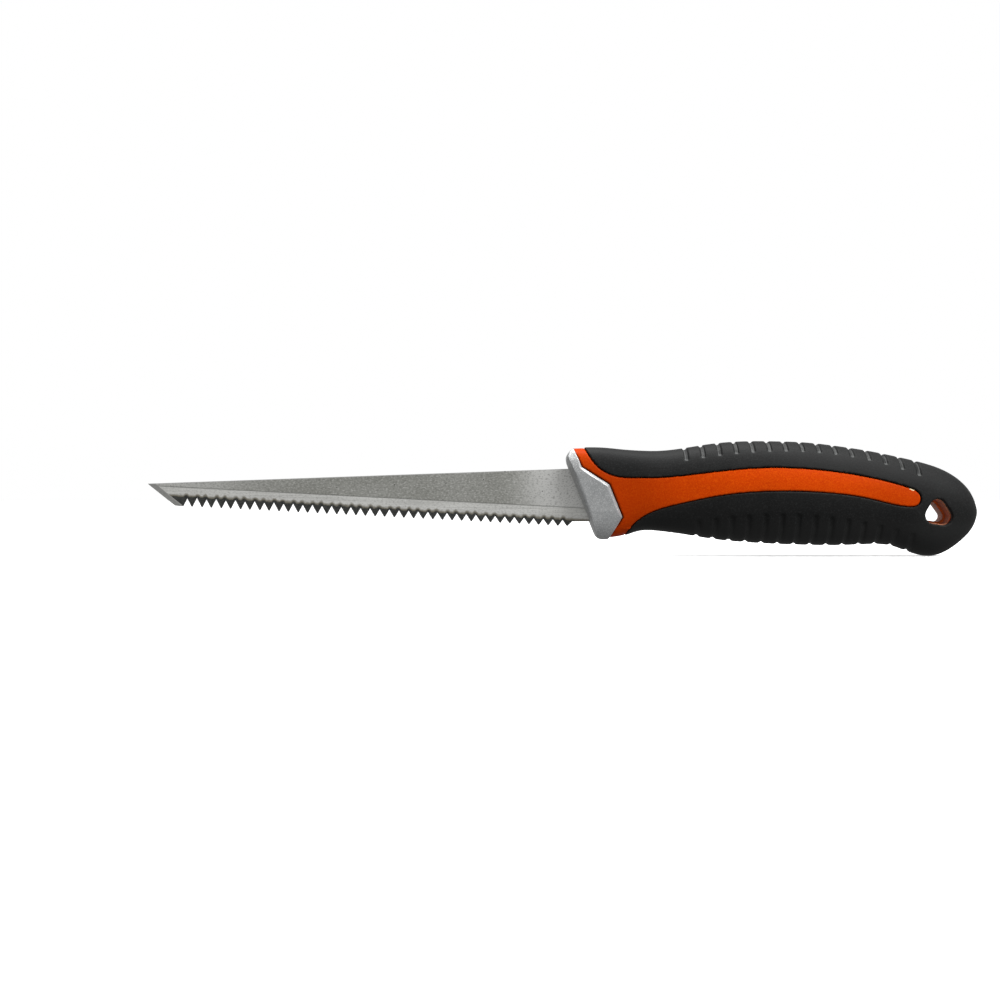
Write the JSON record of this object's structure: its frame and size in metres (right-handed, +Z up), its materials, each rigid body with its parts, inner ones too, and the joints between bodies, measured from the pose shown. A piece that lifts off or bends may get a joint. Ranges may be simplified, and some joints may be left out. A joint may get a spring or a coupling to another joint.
{
  "type": "drywall saw",
  "caption": "Fixed-blade drywall jab saw: tapered toothed steel blade with plunge tip, moulded handle with bolster, soft ribbed grip and hang hole.",
  "frame": {"origin": "grip point: on the line through the tang at mid blade thickness, under the middle of the palm", "axes": "+X along the saw towards the butt, blade towards -X; +Z up in the plane of the blade, teeth facing -Z; +Y across the saw"},
  "size_m": [0.3148, 0.028, 0.0437],
  "materials": {
    "blade_steel": "ground satin, dark hardened teeth",
    "pin_steel": "plain",
    "bolster_silver": "silver flake satin on moulded plastic",
    "core_orange": "satin orange",
    "grip_black": "matte soft grip"
  },
  "bodies": {
    "root": {"blade": "blade_steel", "tang_pins": "pin_steel", "bolster": "bolster_silver", "handle_core_left": "core_orange", "handle_core_right": "core_orange", "grip_overmould": "grip_black"}
  },
  "joints": []
}
